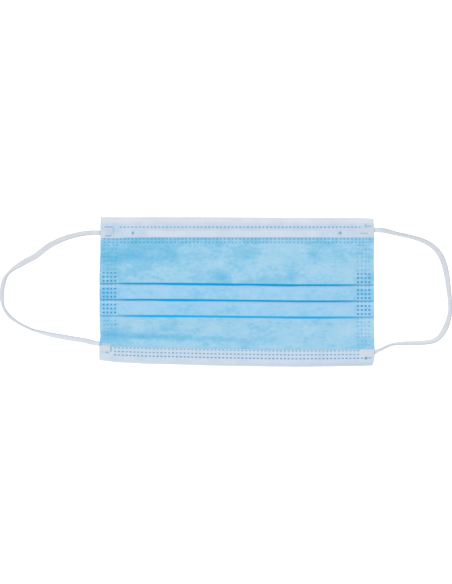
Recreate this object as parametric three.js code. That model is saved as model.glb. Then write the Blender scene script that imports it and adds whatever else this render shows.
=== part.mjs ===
// A flat, pleated three-layer face mask lying on its back, front side up.
// Millimetres. X runs across the face, Y from chin to nose, Z up from the surface it lies on.
import * as THREE from "three";

// Driving sizes of the folded mask
const maskWidth = 176;
const maskHeight = 96;
const plyWall = 1;
const hemWall = 1;
const clearance = 0.3;

// Pleats: open edges face the chin
const pleatCount = 3;
const pleatPitch = 10.3;
const pleatDepth = 8;
const pleatGap = 0.35;
const pleatShift = -4.9;
const evenSlopeShare = 0.6;
const pleatTip = 0.6;
const middleLoft = 0.1;
const loftPower = 4;

// Hems folded from the back over the top and bottom edge
const topHemHeight = 13.3;
const bottomHemHeight = 11.5;
const hemBackLeg = 3.6;
const seamMargin = 2;
const topSeamInset = 6.4;

// Nose wire under the top hem
const wireLength = 104;
const wireWidth = 3.1;
const wireThickness = 0.9;
const wireShift = -1.9;
const wireMargin = 1.1;
const wireEase = 1.3;
const wireEndEase = 8;

// Ear loops of flat elastic and their welded ends under the corners
const loopWidth = 2.9;
const loopThickness = 1.4;
const loopFloorGap = 0.05;
const loopEndLength = 8.5;
const loopEndWidth = 4.5;
const loopEndThickness = 0.9;
const loopEndChamfer = 0.8;
const loopEndOverhang = 0.5;
const cornerMargin = 2.5;
const cornerFade = 8;

// How far the real outline leaves the rectangle
const topDrop = 1.4;
const bottomRise = 4.3;
const sideInset = 1.5;
const sideInsetReach = 18;

// Low wrinkle of the cloth below the last pleat, highest at the left edge and gone past the middle
const wrinkleRise = 0.8;
const wrinkleInset = 22;
const wrinkleSlope = 0.022;
const wrinkleSpread = 4.2;
const wrinkleReach = 120;

// Facets
const stations = 28;
const flatSteps = 6;
const riseSteps = 5;
const lowerSteps = 12;
const foldFacets = 4;
const loopFacets = 38;
const wireFacets = 16;
const loopSides = 8;

// Drop of the top edge and the pleats and rise of the bottom edge, as shares of the sizes above.
// across is a share of half the width.
const edgeRows = [
  { across: -1, top: 0, pleats: 0, bottom: 1 },
  { across: -0.87, top: 0.02, pleats: 0, bottom: 0.76 },
  { across: -0.65, top: 0.03, pleats: 0, bottom: 0.53 },
  { across: -0.43, top: 0.06, pleats: 0.07, bottom: 0.38 },
  { across: -0.21, top: 0.16, pleats: 0.2, bottom: 0.2 },
  { across: 0, top: 0.27, pleats: 0.38, bottom: 0.12 },
  { across: 0.22, top: 0.41, pleats: 0.52, bottom: 0.04 },
  { across: 0.43, top: 0.58, pleats: 0.68, bottom: 0 },
  { across: 0.65, top: 0.6, pleats: 0.7, bottom: 0.04 },
  { across: 0.87, top: 0.58, pleats: 0.66, bottom: 0.11 },
  { across: 0.95, top: 0.72, pleats: 0.65, bottom: 0.15 },
  { across: 1, top: 1, pleats: 0.65, bottom: 0.2 },
];

// Inset of the left and right edge as a share of sideInset. up is a share of half the height.
const sideRows = [
  { up: -1, left: 0.1, right: 1 },
  { up: -0.95, left: 0, right: 0.5 },
  { up: -0.88, left: 0, right: 0.06 },
  { up: -0.78, left: 0.05, right: 0.05 },
  { up: -0.6, left: 0.5, right: 0.05 },
  { up: -0.4, left: 0.16, right: 0.07 },
  { up: 0.24, left: 0.12, right: 0.13 },
  { up: 0.43, left: 0.39, right: 0.25 },
  { up: 0.7, left: 0.57, right: 0.15 },
  { up: 0.9, left: 0.66, right: 0.3 },
  { up: 1, left: 0.8, right: 0.95 },
];

// Welded ends of the loops: side is -1 on the left, up places the outer end as a share of half the height,
// turn is the slope of the elastic there in degrees
const loopEndRows = [
  { name: "loop_end_top_left", side: -1, up: 0.79, turn: 0 },
  { name: "loop_end_bottom_left", side: -1, up: -0.688, turn: -12 },
  { name: "loop_end_top_right", side: 1, up: 0.827, turn: -3 },
  { name: "loop_end_bottom_right", side: 1, up: -0.795, turn: 23 },
];

// Routes of the free elastic, X and Y of points along the middle, from the nose side to the chin side
const leftRoute = [
  [-88.8, 37.9], [-92.8, 37.9], [-97.2, 37.5], [-101.5, 36.8], [-106.5, 35.5], [-111.5, 33.8],
  [-116.5, 31.5], [-121, 29], [-124.7, 26.2], [-129.2, 22.7], [-134.5, 19.9], [-139.6, 16.9],
  [-144.4, 13.6], [-147.8, 9.6], [-149.4, 5], [-150.2, 0], [-150.2, -4.5], [-149.4, -8.9],
  [-147.6, -12.6], [-144.8, -15.9], [-140.9, -18.9], [-135.9, -21.7], [-130.9, -24], [-124.6, -25.8],
  [-118.3, -27.4], [-111.9, -28.6], [-105.5, -29.7], [-99.2, -30.7], [-94.1, -31.8], [-88.8, -33],
];
const rightRoute = [
  [88.8, 39.7], [92.8, 39.5], [97.4, 38.5], [101.9, 37.3], [107, 36.2], [112.2, 34.9],
  [117.4, 33.4], [122.8, 30.8], [126.9, 27.6], [130.1, 23.5], [132.2, 18.7], [133.5, 14],
  [134.5, 8.2], [135.2, 2.4], [135.9, -3.3], [136.3, -8.4], [136.1, -13.4], [135.1, -18],
  [133.7, -22.1], [130.9, -27.1], [126.8, -30.8], [122.4, -32], [117.2, -32.5], [110.8, -32.6],
  [104.4, -32.8], [100, -33.3], [95.5, -34.8], [91.9, -36.7], [88.8, -38.1],
];

const halfWidth = maskWidth / 2;
const halfHeight = maskHeight / 2;
const firstFold = pleatShift + (pleatPitch * (pleatCount - 1)) / 2;
const lastFold = pleatShift - (pleatPitch * (pleatCount - 1)) / 2;
const hemRest = plyWall + clearance;
const wireMiddle = halfHeight - topHemHeight + wireMargin + wireWidth / 2;
const wireBump = wireThickness + clearance;
const cornerLift = loopEndThickness + clearance;

const clothBlue = new THREE.MeshStandardMaterial({ color: 0x9fcfea, roughness: 0.9, metalness: 0 });
const clothWhite = new THREE.MeshStandardMaterial({ color: 0xdde5ee, roughness: 0.9, metalness: 0 });
const wireWhite = new THREE.MeshStandardMaterial({ color: 0xf2f3f4, roughness: 0.5, metalness: 0 });
const elasticWhite = new THREE.MeshStandardMaterial({ color: 0xe2e4ec, roughness: 0.85, metalness: 0 });

// A share from 0 to 1 that eases in and out
function smooth(value) {
  const t = THREE.MathUtils.clamp(value, 0, 1);
  return t * t * (3 - 2 * t);
}

// The row of a table at a place between its rows, every column interpolated
function rowAt(rows, column, value) {
  const next = rows.findIndex((row) => row[column] >= value);
  if (next === 0) return rows[0];
  if (next < 0) return rows[rows.length - 1];
  const before = rows[next - 1];
  const after = rows[next];
  const share = (value - before[column]) / (after[column] - before[column]);
  const row = {};
  for (const key of Object.keys(before)) row[key] = THREE.MathUtils.lerp(before[key], after[key], share);
  return row;
}

// How far a point of the cloth moves along Y because the real edges and pleats aren't quite straight
function driftY(x, y) {
  const row = rowAt(edgeRows, "across", x / halfWidth);
  const topSeam = halfHeight - topSeamInset;
  const hemSeam = halfHeight - topHemHeight - seamMargin;
  const lowerStart = lastFold - pleatDepth;
  const top = THREE.MathUtils.clamp((y - topSeam) / topSeamInset, 0, 1);
  const pleats = THREE.MathUtils.clamp((hemSeam - y) / (hemSeam - firstFold), 0, 1);
  const lower = THREE.MathUtils.clamp((lowerStart - y) / (halfHeight + lowerStart), 0, 1);
  const upperDrift = -topDrop * (row.top * top + row.pleats * pleats);
  return THREE.MathUtils.lerp(upperDrift, bottomRise * row.bottom, lower);
}

// How far a point of the cloth moves along X because the side edges aren't quite straight
function driftX(spread, y) {
  const row = rowAt(sideRows, "up", y / halfHeight);
  const share = THREE.MathUtils.clamp(1 - (halfWidth * (1 - Math.abs(spread))) / sideInsetReach, 0, 1);
  return spread < 0 ? sideInset * row.left * share : -sideInset * row.right * share;
}

// Middle of a welded loop end, which runs inward from its outer end at the side edge
function loopEndMiddle(row) {
  const turn = THREE.MathUtils.degToRad(row.turn);
  const half = (row.side * loopEndLength) / 2;
  const x = row.side * (halfWidth + loopEndOverhang) - half * Math.cos(turn);
  const y = row.up * halfHeight - half * Math.sin(turn);
  return { x, y, turn };
}

// How far the cloth is lifted over the welded loop ends
function liftZ(x, y) {
  let lift = 0;
  for (const row of loopEndRows) {
    const end = loopEndMiddle(row);
    const halfSpan = (loopEndWidth + loopEndLength * Math.abs(Math.sin(end.turn))) / 2;
    const pastX = halfWidth - loopEndLength - cornerMargin - x * row.side;
    const pastY = Math.abs(y - end.y) - halfSpan - cornerMargin;
    const share = (1 - smooth(pastX / cornerFade)) * (1 - smooth(pastY / cornerFade));
    lift = Math.max(lift, cornerLift * share);
  }
  return lift;
}

// How far the top hem is lifted over the nose wire
function wireLiftZ(x, y) {
  const pastX = Math.abs(x - wireShift) - wireLength / 2 - wireEndEase;
  const pastY = Math.abs(y - wireMiddle) - wireWidth / 2 - clearance;
  const shareX = 1 - smooth(pastX / wireEndEase);
  const shareY = 1 - THREE.MathUtils.clamp(pastY / wireEase, 0, 1);
  return wireBump * shareX * shareY;
}

// How far the panel is lifted along the wrinkle
function wrinkleLiftZ(x, y) {
  const fromLeft = x + halfWidth;
  const middleY = wrinkleInset - halfHeight - wrinkleSlope * fromLeft;
  const shareX = 1 - smooth(fromLeft / wrinkleReach);
  const shareY = 1 - smooth(Math.abs(y - middleY) / wrinkleSpread);
  return wrinkleRise * shareX * shareY;
}

// The place of a point of the flat, straight section in the real mask
function drapedPoint(straightX, straightY, straightZ, extraLift) {
  const spread = straightX / halfWidth;
  const x = straightX + driftX(spread, straightY);
  const y = straightY + driftY(straightX, straightY);
  const loft = 1 + middleLoft * (1 - spread ** loftPower);
  const z = (straightZ + extraLift(straightX, straightY)) * loft + liftZ(x, y);
  return new THREE.Vector3(x, y, z);
}

// Stations across the mask lie closer together towards both sides, as on an eased curve
function acrossMask(share) {
  return halfWidth * (2 * smooth(share) - 1);
}

function acrossWire(share) {
  return wireShift + wireLength * (share - 0.5);
}

function noLift() {
  return 0;
}

// The two sides of a wall of even thickness along a middle line of [y, z] points
function wallSides(line, wall) {
  const above = [];
  const below = [];
  line.forEach((point, i) => {
    const here = new THREE.Vector2(...point);
    const before = new THREE.Vector2(...line[Math.max(i - 1, 0)]);
    const after = new THREE.Vector2(...line[Math.min(i + 1, line.length - 1)]);
    const arriving = here.clone().sub(before).normalize();
    const leaving = after.clone().sub(here).normalize();
    if (i === 0) arriving.copy(leaving);
    if (i === line.length - 1) leaving.copy(arriving);
    const along = arriving.clone().add(leaving).normalize();
    const miter = wall / 2 / along.dot(leaving);
    const normal = new THREE.Vector2(along.y, -along.x).multiplyScalar(miter);
    above.push(here.clone().add(normal));
    below.push(here.clone().sub(normal));
  });
  return { above, below };
}

// A folded wall across the whole mask: its section is repeated at every station and bent into place
function foldedWall(line, wall, extraLift) {
  const { above, below } = wallSides(line, wall);
  const ring = [...above, ...below.reverse()];
  const count = ring.length;
  const points = [];
  const index = [];
  const quad = (a, b, c, d) => index.push(a, b, c, a, c, d);
  for (let s = 0; s <= stations; s++) {
    for (const { x: y, y: z } of ring) points.push(drapedPoint(acrossMask(s / stations), y, z, extraLift));
  }
  for (let s = 0; s < stations; s++) {
    for (let i = 0; i < count; i++) {
      const next = (i + 1) % count;
      quad(s * count + i, s * count + next, (s + 1) * count + next, (s + 1) * count + i);
    }
  }
  const lastRing = stations * count;
  for (let i = 0; i < line.length - 1; i++) {
    const across = count - 1 - i;
    quad(i, across, across - 1, i + 1);
    quad(lastRing + i, lastRing + i + 1, lastRing + across - 1, lastRing + across);
  }
  const geometry = new THREE.BufferGeometry().setFromPoints(points).setIndex(index);
  geometry.computeVertexNormals();
  return geometry;
}

// Points of a half-round fold. side is -1 where it opens upward along Y, 1 where it opens downward.
function foldPoints(y, z, radius, side) {
  const points = [];
  for (let i = 0; i <= foldFacets; i++) {
    const angle = (Math.PI * i) / foldFacets;
    points.push([y + side * radius * Math.sin(angle), z + radius * Math.cos(angle)]);
  }
  return points;
}

// Middle line of the laminate, from the top hem down through the pleats to the bottom hem
function panelLine() {
  const layer = plyWall + pleatGap;
  const low = plyWall / 2;
  const slopeRise = (2 * layer * evenSlopeShare * pleatDepth) / pleatPitch;
  const radius = layer / 2;
  const inset = radius + plyWall / 2;
  const panelEnd = halfHeight - hemBackLeg - clearance;
  const riseStart = halfHeight - topHemHeight - seamMargin;
  const riseEnd = firstFold + pleatDepth - pleatTip;
  const heightIn = (fold, y, layers) => low + layers * layer + slopeRise * (1 - (y - fold) / pleatDepth);
  const points = [];
  for (let i = 0; i <= flatSteps; i++) {
    points.push([THREE.MathUtils.lerp(panelEnd, riseStart, i / flatSteps), low]);
  }
  for (let i = 1; i < riseSteps; i++) {
    const share = i / riseSteps;
    const y = THREE.MathUtils.lerp(riseStart, riseEnd, share);
    points.push([y, THREE.MathUtils.lerp(low, heightIn(firstFold, riseEnd, 2), smooth(share))]);
  }
  for (let k = 0; k < pleatCount; k++) {
    const fold = firstFold - k * pleatPitch;
    const outerY = fold + inset;
    const innerY = fold + pleatDepth - inset;
    points.push([fold + pleatDepth - pleatTip, heightIn(fold, fold + pleatDepth - pleatTip, 2)]);
    points.push(...foldPoints(outerY, heightIn(fold, outerY, 1.5), radius, -1));
    points.push(...foldPoints(innerY, heightIn(fold, innerY, 0.5), radius, 1));
    points.push([fold + pleatTip, heightIn(fold, fold + pleatTip, 0)]);
  }
  const flatStart = lastFold - pleatDepth;
  points.push([lastFold - pleatDepth / 2, low + slopeRise / 2]);
  for (let i = 0; i <= lowerSteps; i++) {
    points.push([THREE.MathUtils.lerp(flatStart, -panelEnd, i / lowerSteps), low]);
  }
  return points;
}

// Middle line of a hem as seen with its fold towards positive Y. stops are the places along the front leg.
function hemLine(stops) {
  const backZ = hemWall / 2;
  const frontZ = hemRest + hemWall / 2;
  const radius = (frontZ - backZ) / 2;
  const foldY = halfHeight - radius - hemWall / 2;
  const arc = foldPoints(foldY, (frontZ + backZ) / 2, radius, 1).reverse();
  const front = stops.map((y) => [y, frontZ]);
  return [[halfHeight - hemBackLeg, backZ], ...arc, ...front];
}

function mirrored(line) {
  return line.map(([y, z]) => [-y, z]);
}

function addPiece(group, name, geometry, material) {
  const mesh = new THREE.Mesh(geometry, material);
  mesh.name = name;
  group.add(mesh);
  return mesh;
}

function pleatedPanel() {
  return foldedWall(panelLine(), plyWall, wrinkleLiftZ);
}

function topHem() {
  const wireHalf = wireWidth / 2 + clearance;
  const stops = [
    wireMiddle + wireHalf + 2 * wireEase,
    wireMiddle + wireHalf + wireEase,
    wireMiddle + wireHalf,
    wireMiddle,
    wireMiddle - wireHalf,
    halfHeight - topHemHeight,
  ];
  return foldedWall(hemLine(stops), hemWall, wireLiftZ);
}

function bottomHem() {
  const stops = [];
  const stopCount = 4;
  for (let i = 1; i <= stopCount; i++) {
    stops.push(halfHeight - THREE.MathUtils.lerp(hemBackLeg, bottomHemHeight, i / stopCount));
  }
  return foldedWall(mirrored(hemLine(stops)).reverse(), hemWall, noLift);
}

function noseWire() {
  const bottom = hemRest;
  const top = hemRest + wireThickness;
  const half = wireWidth / 2;
  const edge = wireThickness / 4;
  const shape = new THREE.Shape([
    new THREE.Vector2(wireMiddle - half + edge, bottom),
    new THREE.Vector2(wireMiddle + half - edge, bottom),
    new THREE.Vector2(wireMiddle + half, bottom + edge),
    new THREE.Vector2(wireMiddle + half, top - edge),
    new THREE.Vector2(wireMiddle + half - edge, top),
    new THREE.Vector2(wireMiddle - half + edge, top),
    new THREE.Vector2(wireMiddle - half, top - edge),
    new THREE.Vector2(wireMiddle - half, bottom + edge),
  ]);
  const geometry = new THREE.ExtrudeGeometry(shape, { depth: 1, steps: wireFacets, bevelEnabled: false });
  const position = geometry.getAttribute("position");
  for (let i = 0; i < position.count; i++) {
    const x = acrossWire(position.getZ(i));
    const placed = drapedPoint(x, position.getX(i), position.getY(i), noLift);
    position.setXYZ(i, placed.x, placed.y, placed.z);
  }
  geometry.computeVertexNormals();
  return geometry;
}

// A flat strip of elastic along its route, lying on the surface
function earLoop(route) {
  const middleZ = loopThickness / 2 + loopFloorGap;
  const curve = new THREE.CatmullRomCurve3(
    route.map(([x, y]) => new THREE.Vector3(x, y, middleZ)),
    false,
    "centripetal",
  );
  const section = [];
  for (let i = 0; i < loopSides; i++) {
    const angle = (2 * Math.PI * (i + 0.5)) / loopSides;
    const reach = 1 / Math.cos(Math.PI / loopSides);
    const upZ = (loopThickness / 2) * reach * Math.cos(angle);
    const sideways = (loopWidth / 2) * reach * Math.sin(angle);
    section.push(new THREE.Vector2(upZ, sideways));
  }
  return new THREE.ExtrudeGeometry(new THREE.Shape(section), {
    steps: loopFacets,
    extrudePath: curve,
  });
}

// The end of the elastic, pressed flat where it is welded to the back of the mask
function loopEnd() {
  const x = loopEndLength / 2;
  const y = loopEndWidth / 2;
  const c = loopEndChamfer;
  const shape = new THREE.Shape([
    new THREE.Vector2(-x + c, -y),
    new THREE.Vector2(x - c, -y),
    new THREE.Vector2(x, -y + c),
    new THREE.Vector2(x, y - c),
    new THREE.Vector2(x - c, y),
    new THREE.Vector2(-x + c, y),
    new THREE.Vector2(-x, y - c),
    new THREE.Vector2(-x, -y + c),
  ]);
  return new THREE.ExtrudeGeometry(shape, { depth: loopEndThickness, bevelEnabled: false });
}

function buildMask() {
  const mask = new THREE.Group();
  addPiece(mask, "pleated_panel", pleatedPanel(), clothBlue);
  addPiece(mask, "top_hem", topHem(), clothWhite);
  addPiece(mask, "bottom_hem", bottomHem(), clothWhite);
  addPiece(mask, "nose_wire", noseWire(), wireWhite);
  for (const row of loopEndRows) {
    const place = loopEndMiddle(row);
    const end = addPiece(mask, row.name, loopEnd(), elasticWhite);
    end.position.set(place.x, place.y, 0);
    end.rotation.z = place.turn;
  }
  addPiece(mask, "ear_loop_left", earLoop(leftRoute), elasticWhite);
  addPiece(mask, "ear_loop_right", earLoop(rightRoute), elasticWhite);
  return mask;
}

export default buildMask();
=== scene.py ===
"""A pleated three-layer face mask lying on its back, its cloth, welds and elastic modelled in detail."""
import math

import bpy
import numpy as np
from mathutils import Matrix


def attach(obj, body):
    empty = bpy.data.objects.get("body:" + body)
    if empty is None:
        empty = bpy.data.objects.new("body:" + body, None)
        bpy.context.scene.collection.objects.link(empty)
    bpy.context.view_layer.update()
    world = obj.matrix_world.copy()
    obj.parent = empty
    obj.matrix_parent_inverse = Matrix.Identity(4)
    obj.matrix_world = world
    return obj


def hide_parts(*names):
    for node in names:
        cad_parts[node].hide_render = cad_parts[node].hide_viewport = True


MM = 0.001

# View: straight down on the mask
VIEW_WIDTH = 0.2893
VIEW_CENTRE = (-0.00698, 0.0)
CAMERA_HEIGHT = 1.2
SENSOR_WIDTH = 36.0

# Level of the studio light on a surface that faces up, so that colours can be given as they show
LIGHT_LEVEL = 1.26
# Glow of the floor, and strength of the light from all around
FLOOR_GLOW = 0.35
WORLD_LEVEL = 0.95
# Brightest white, painted light against shade: on the elastic next to the cloth and, by this share, on the
# hem's steep slope below the wire
PAINTED_LIGHT_WHITE = (0.92, 0.96, 1.0, 1.0)
SLOPE_LIGHT_SHARE = 0.25
# Pitch of the teeth of the welding tool, and height of the cloth's bump, in metres
KNURL_PITCH = 0.0022
BUMP_DISTANCE = 0.00012

# Sizes of the folded mask in millimetres, as in the CAD part
MASK_WIDTH = 176.0
MASK_HEIGHT = 96.0
HALF_WIDTH = MASK_WIDTH / 2
HALF_HEIGHT = MASK_HEIGHT / 2
LAMINATE = 1.0
CLEARANCE = 0.3
PLEAT_COUNT = 3
PLEAT_PITCH = 10.3
PLEAT_DEPTH = 8.0
PLEAT_GAP = 0.35
PLEAT_SHIFT = -4.9
EVEN_SLOPE_SHARE = 0.6
PLEAT_TIP = 0.6
MIDDLE_LOFT = 0.1
TOP_HEM_HEIGHT = 13.3
BOTTOM_HEM_HEIGHT = 11.5
HEM_BACK_LEG = 3.6
SEAM_MARGIN = 2.0
TOP_SEAM_INSET = 6.4
FIRST_FOLD = PLEAT_SHIFT + PLEAT_PITCH * (PLEAT_COUNT - 1) / 2
LAST_FOLD = PLEAT_SHIFT - PLEAT_PITCH * (PLEAT_COUNT - 1) / 2
TOP_DROP = 1.4
BOTTOM_RISE = 4.3
SIDE_INSET = 1.5
SIDE_INSET_REACH = 18.0

# Low wrinkle below the last pleat
WRINKLE_RISE = 0.8
WRINKLE_INSET = 22.0
WRINKLE_SLOPE = 0.022
WRINKLE_SPREAD = 4.2
WRINKLE_REACH = 120.0

# Nose wire under the top hem
WIRE_LENGTH = 104.0
WIRE_WIDTH = 3.1
WIRE_SHIFT = -1.9
WIRE_MARGIN = 1.1
WIRE_MIDDLE = HALF_HEIGHT - TOP_HEM_HEIGHT + WIRE_MARGIN + WIRE_WIDTH / 2

# Single plies of the cloth, the blue one in front and the white one behind
PLY = 0.3
PLY_EDGE = 0.1
OUTER_OFFSET = 0.2
INNER_OFFSET = -0.3
# Spacing of the rows of points on the plain back
BACK_STEP = 1.8
# Height of the hems' front, and of its free edge
HEM_FRONT_Z = 1.1
HEM_EDGE_Z = 0.94
# How far the hem rises over the nose wire, and over what distances it comes down again
WIRE_RISE = 1.36
WIRE_EASE = 1.0
WIRE_EASE_ABOVE = 2.2
WIRE_END_EASE = 8.0
# How much flatter the pleats are pressed at both sides, from where and over what distance
SIDE_PRESS = 0.4
SIDE_PRESS_FROM = 73.0
SIDE_PRESS_EASE = 5.5
# The top hem's lower edge hangs a little lower at the left
HEM_DROOP = 0.5
HEM_DROOP_END = -78.0
# How far the painted shade of a pleat's edge, a deep blue, reaches onto the cloth below, and how much wider
# it gets for each 1 of strength past 1, and narrower for each 1 below
CREASE_REACH = 0.7
CREASE_WIDENING = 1.6
CREASE_NARROWING = 0.6

# How strongly the cloth below each pleat's open edge catches light
CATCH_STRENGTHS = (0.5, 0.5, 0.2)

# Weld dots
DOT_PITCH_X = 2.466
DOT_FIRST_X = -85.25
DOT_COLUMNS = 70
DOT_PITCH_Y = 2.537
DOT_PHASE_Y = 7.14
# How far from a dot's middle the cloth is plain again
DOT_CLEAR_Y = 0.7
# How deep the bump of a dot is, beside the 0 to 1 of the fibres
PRESSED_DEPTH = 2.0
# Half sizes of a dot's dark square, and how soft its edge is
SQUARE_HALF_X = 0.66
SQUARE_HALF_Y = 0.52
HEM_SQUARE_HALF_Y = 0.42
SQUARE_SOFT = 0.14
SIDE_COLUMNS = 4
# Places along Y between which the dots at the sides are strong, and how strong the others are
STRONG_FROM = 14.5
STRONG_TO = -15.6
FAINT_DOTS = 0.34
# The top rows of dots are moved along X by this much, above this place
TOP_ROW_SHIFT = 1.05
TOP_SHIFT_Y = 26.0
TOP_SEAM_ROWS = (33.95, 31.75)
TOP_HEM_ROW = 41.5
BOTTOM_HEM_ROWS = (-37.35, -39.95, -42.5)
BOTTOM_ROW_STRENGTHS = (0.7, 0.85, 0.95)
# Ends of the hems' rows of dots. The top row starts later, and the last one ends later.
HEM_DOTS_FROM = -79
HEM_DOTS_TO = 78.5
TOP_ROW_FROM = -76
LAST_ROW_TO = 86

# Elastic of the ear loops
ELASTIC_WIDTH = 3.7
ELASTIC_THICKNESS = 1.5
ELASTIC_END_WIDTH = 4.4
ELASTIC_END_THICKNESS = 0.8
ELASTIC_END_LENGTH = 8.5
ELASTIC_NECK = 0.5
ELASTIC_NECK_LENGTH = 6.0
# Share of the free length past which the elastic is a little brighter
BRIGHT_FROM = 0.6
ELASTIC_STEP = 0.3
ELASTIC_SIDES = 44
ELASTIC_FLOOR_GAP = 0.05
LOOP_END_OVERHANG = 0.5
RIB_COUNT = 5
STITCH_LENGTH = 1.25
TOOTH_PITCH = 1.0
TEETH_ACROSS = 4
RIB_HEIGHT = 0.1
TOOTH_HEIGHT = 0.12
CORNER_LIFT = 1.2
CORNER_MARGIN = 2.5
CORNER_FADE = 8.0

# across is a share of half the width, the other columns are shares of TOP_DROP and BOTTOM_RISE
EDGE_COLUMNS = ("across", "top", "pleats", "bottom")
EDGE_ROWS = (
    (-1, 0, 0, 1),
    (-0.87, 0.02, 0, 0.68),
    (-0.65, 0, 0, 0.45),
    (-0.43, 0, 0.07, 0.35),
    (-0.21, 0.04, 0.2, 0.2),
    (0, 0.1, 0.38, 0.12),
    (0.22, 0.2, 0.52, 0.04),
    (0.43, 0.35, 0.68, 0),
    (0.65, 0.36, 0.7, 0.04),
    (0.87, 0.38, 0.66, 0.11),
    (0.95, 0.55, 0.65, 0.15),
    (1, 0.7, 0.65, 0.2),
)

# up is a share of half the height, left and right are shares of SIDE_INSET
SIDE_EDGE_COLUMNS = ("up", "left", "right")
SIDE_EDGE_ROWS = (
    (-1, 0.1, 1),
    (-0.95, 0, 0.5),
    (-0.88, 0, 0.06),
    (-0.78, 0.05, 0.05),
    (-0.6, 0.5, 0.1),
    (-0.4, 0.12, 0.25),
    (0.24, 0.1, 0.3),
    (0.43, 0.35, 0.35),
    (0.7, 0.5, 0.15),
    (0.9, 0.5, 0.3),
    (1, 0.52, 0.5),
)

# How strongly each pleat's open edge shows its painted shade, a deep blue, across the mask.
# Past 1 the blue is also wider.
FOLD_COLUMNS = ("across", "first", "second", "third")
FOLD_ROWS = (
    (-1, 0.1, 0.5, 0.3),
    (-0.87, 0.12, 0.45, 0.25),
    (-0.8, 0.75, 0.8, 0.7),
    (-0.6, 0.95, 1, 1.05),
    (-0.5, 1.1, 1.15, 1.05),
    (-0.35, 1.25, 1.15, 0.95),
    (-0.2, 1.15, 1, 0.85),
    (-0.06, 1.25, 0.95, 0.9),
    (0.09, 1, 0.95, 0.95),
    (0.23, 1.2, 1, 0.9),
    (0.38, 1.3, 0.95, 0.95),
    (0.49, 1, 0.95, 1.05),
    (0.62, 1.05, 0.95, 1),
    (0.75, 0.95, 0.9, 0.85),
    (0.84, 0.7, 0.7, 0.75),
    (0.9, 0.25, 0.35, 0.45),
    (1, 0.05, 0.3, 0.4),
)

# Where the blue is deeper, or paler below 0: x, y, reach along x and y in millimetres, depth
PATCH_ROWS = (
    (-66, 26, 36, 10, 0.5), (-82, 24, 14, 8, 0.3), (-80, 20.5, 9, 3.5, 0.35),
    (-66, 23, 9, 4.5, 0.5), (-54, 21, 14, 3, 0.5), (-54, 28, 16, 7, 0.3),
    (-43, 23.5, 7, 4.5, 0.45), (-48, 32, 12, 3, 0.35), (-69, 31, 7, 4, 0.2),
    (-22, 22.5, 26, 3, 0.2), (-10, 9.5, 7.5, 5.5, 1.0), (-36, 8.5, 8, 3, 0.2),
    (34, 9, 7, 5, 0.35), (20, 7.5, 18, 2.5, 0.3), (8, 7.5, 10, 3, 0.3),
    (8, 24.5, 10, 4.5, 0.55), (49, 24, 5, 4, 0.55), (51, 31, 9, 4, 0.35),
    (-28, -0.5, 9, 6, 0.4), (-60, 11, 22, 6, 0.12), (-86, -2, 7, 6, 0.6),
    (-84, 0, 9, 17, 0.4), (84, -1, 9, 16, 0.15), (-84, -30, 10, 5.5, 0.5),
    (12, -31, 16, 3, 0.2), (-8, -11, 7, 3, 0.2), (-16, -11, 6, 3, 0.15),
    (84, -34, 9, 3, 0.1), (0, 33, 200, 1.6, 0.15), (30, 27.5, 12, 6, -0.45),
    (19, 18, 12, 6, -0.15), (57, 12, 15, 8, -0.4), (-50, -0.5, 15, 5, -0.35),
    (8, -0.5, 12, 4, -0.35), (60, 0, 14, 4, -0.15), (68, -11, 8, 5, -0.45),
    (40, -10.5, 12, 4, -0.15), (-60, -10.5, 16, 4, -0.15), (-15, -23.5, 10, 6, -0.4),
    (72, -23, 8, 6, -0.4), (46, -26, 26, 8, -0.25), (84, -22, 7, 10, -0.6),
    (-62, -21, 14, 5, -0.3), (-43, -33.5, 20, 3.5, -0.3), (32, -32, 9, 4, -0.25),
)

# Marks of the welding tools on the straight cloth: x, y, half width, half height, strength
HEM_LINES = (
    (-82.4, 41.5, 2.8, 0.36, 0.8),
    (-82.6, 35.9, 2.1, 0.36, 0.75),
    (-79.1, 39.2, 0.3, 1.9, 0.5),
    (82.6, 42.6, 0.8, 1.3, 0.35),
    (84.2, 42.0, 1.9, 0.35, 0.5),
    (81.4, 37.4, 2.6, 0.32, 0.45),
    (-80.5, -38.4, 0.5, 2.1, 0.6),
    (-83.0, -41.3, 1.2, 0.6, 0.6),
    (-85.9, -41.3, 0.5, 0.4, 0.4),
    (82.6, -42.5, 1.1, 0.9, 0.6),
)
HEM_SPOTS = (
    (-66.5, 37.7, 0.8, 1.2, 0.7),
    (66.0, 37.7, 1.05, 1.05, 0.7),
)
PALE_IMPRINTS = (
    (-84.0, -37.3, 3.4, 2.6, 1.0),
    (83.2, -38.6, 4.4, 2.1, 1.0),
    (84.4, 39.4, 3.6, 1.7, 0.8),
    (82.8, 40.0, 4.4, 4.2, 0.35),
    (-85.6, 37.9, 2.4, 1.7, 0.5),
)
GREY_IMPRINTS = (
    (-82.0, 38.7, 2.8, 2.1, 0.45),
    (80.6, 39.6, 2.4, 1.8, 0.25),
    (-83.5, 43.0, 1.2, 0.9, 0.15),
)
KNURLED = (
    (-77.6, 41.2, 2.5, 2.9, 0.55),
    (82.6, 42.0, 3.4, 1.6, 0.35),
)

# Welded ends of the elastic: side, share of half the height, slope in degrees
LOOP_ENDS = {
    "top_left": (-1, 0.79, 0),
    "bottom_left": (-1, -0.688, -12),
    "top_right": (1, 0.827, -3),
    "bottom_right": (1, -0.795, 23),
}

# How much painted light brightens the elastic where it leaves the cloth, against the shade of the cloth's
# edge:
# fading out at 1.8 mm, fading out at 7 mm
END_PAINTED_LIGHT = {
    "top_left": (0, 0.35),
    "bottom_left": (0.25, 0.8),
    "top_right": (0.15, 0.35),
    "bottom_right": (0.55, 0.8),
}

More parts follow.
